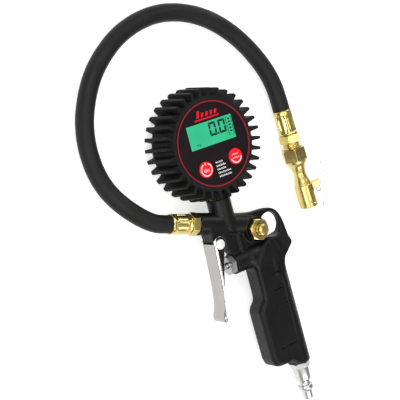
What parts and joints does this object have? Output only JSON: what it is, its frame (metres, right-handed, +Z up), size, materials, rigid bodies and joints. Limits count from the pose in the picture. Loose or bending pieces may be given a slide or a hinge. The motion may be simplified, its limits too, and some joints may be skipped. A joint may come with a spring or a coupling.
{
  "type": "tyre inflator with gauge",
  "caption": "Pistol-grip tyre inflator with a digital gauge in a ribbed rubber boot, a whip hose with a clip-on brass chuck, a bleed button and an air inlet plug.",
  "frame": {"origin": "on the table, under the middle of the gun and gauge together (the box of everything but the free hose and its chuck)", "axes": "+Z up out of the dial, +Y up along the grip and riser from the air inlet to the gauge, +X to the dial's right, away from the trigger"},
  "size_m": [0.1976, 0.3187, 0.0343],
  "materials": {
    "cast_black": "satin black powder coat on a die casting",
    "boot_rubber": "matte moulded rubber",
    "hose_rubber": "matte extruded rubber",
    "seal_rubber": "soft black rubber",
    "case_plastic": "textured black plastic",
    "face_black": "gloss black overlay",
    "ring_red": "gloss red trim",
    "button_red": "gloss red",
    "lcd_green": "lit green liquid crystal display",
    "lcd_clear": "clear lens",
    "board_green": "solder-masked board",
    "brass": "polished machined brass",
    "steel": "zinc-plated steel",
    "chrome": "bright chrome plate",
    "cell_wrap": "printed battery sleeve"
  },
  "bodies": {
    "gun": {"gun_body": "cast_black", "gauge_boot": "boot_rubber", "gauge_case": "case_plastic", "battery_cover": "case_plastic", "face_plate": "face_black", "face_ring": "ring_red", "lcd_window": "lcd_clear", "lcd_panel": "lcd_green", "lcd_backlight": "lcd_clear", "circuit_board": "board_green", "board_screw_1": "steel", "board_screw_2": "steel", "board_screw_3": "steel", "board_screw_4": "steel", "power_switch": "case_plastic", "unit_switch": "case_plastic", "battery_1": "cell_wrap", "battery_2": "cell_wrap", "battery_contact_left": "steel", "battery_contact_right": "steel", "pressure_sensor": "steel", "gauge_stem": "brass", "stem_seal": "seal_rubber", "trigger_pin": "steel", "inlet_nipple": "steel", "inlet_filter": "steel", "hose_fitting": "brass", "gun_ferrule": "brass", "valve_nut": "steel", "valve_seal": "seal_rubber", "valve_seat": "brass", "valve_spring": "steel", "relief_body": "brass", "relief_spring": "steel", "hose": "hose_rubber", "chuck_ferrule": "brass", "chuck_fitting": "brass", "chuck_body": "brass", "chuck_seal": "seal_rubber", "chuck_spring": "steel", "clip_pin": "steel", "clip_spring": "steel"},
    "trigger": {"trigger": "chrome"},
    "valve_stem": {"valve_stem": "steel", "valve_poppet": "seal_rubber"},
    "relief_button": {"relief_button": "brass"},
    "power_button": {"power_button": "button_red"},
    "unit_button": {"unit_button": "button_red"},
    "chuck_clip": {"chuck_clip": "chrome"},
    "chuck_poppet": {"chuck_poppet": "brass"}
  },
  "joints": [
    {"name": "trigger_squeeze", "type": "hinge", "parent": "gun", "child": "trigger", "pos_m": [-0.01694, 0.01367, 0.0169], "axis": [0, 0, 1], "range_deg": [0, 10], "stiffness_Nm_per_rad": 0.5, "springref_deg": -8.59},
    {"name": "valve_push", "type": "slide", "parent": "gun", "child": "valve_stem", "axis": [1, 0, 0], "range_m": [0, 0.0033], "deforming": ["valve_spring"]},
    {"name": "relief_press", "type": "slide", "parent": "gun", "child": "relief_button", "axis": [0, 0, -1], "range_m": [0, 0.002], "stiffness_N_per_m": 1500, "springref_m": -0.001, "deforming": ["relief_spring"]},
    {"name": "power_press", "type": "slide", "parent": "gun", "child": "power_button", "axis": [0, 0, -1], "range_m": [0, 0.0004], "stiffness_N_per_m": 2500, "springref_m": -0.0003},
    {"name": "unit_press", "type": "slide", "parent": "gun", "child": "unit_button", "axis": [0, 0, -1], "range_m": [0, 0.0004], "stiffness_N_per_m": 2500, "springref_m": -0.0003},
    {"name": "clip_pivot", "type": "hinge", "parent": "gun", "child": "chuck_clip", "pos_m": [0.09365, 0.02999, 0.01736], "axis": [-0.5869, -0.027, 0.8092], "range_deg": [0, 20], "stiffness_Nm_per_rad": 0.1, "springref_deg": -11.46, "deforming": ["clip_spring"]},
    {"name": "poppet_push", "type": "slide", "parent": "gun", "child": "chuck_poppet", "axis": [-0.046, 0.9989, 0], "range_m": [0, 0.0015], "stiffness_N_per_m": 800, "springref_m": -0.001, "deforming": ["chuck_spring"]}
  ],
  "couplings": [
    {"joint": "valve_push", "follows": "trigger_squeeze", "m_per_rad": 0.0188}
  ]
}
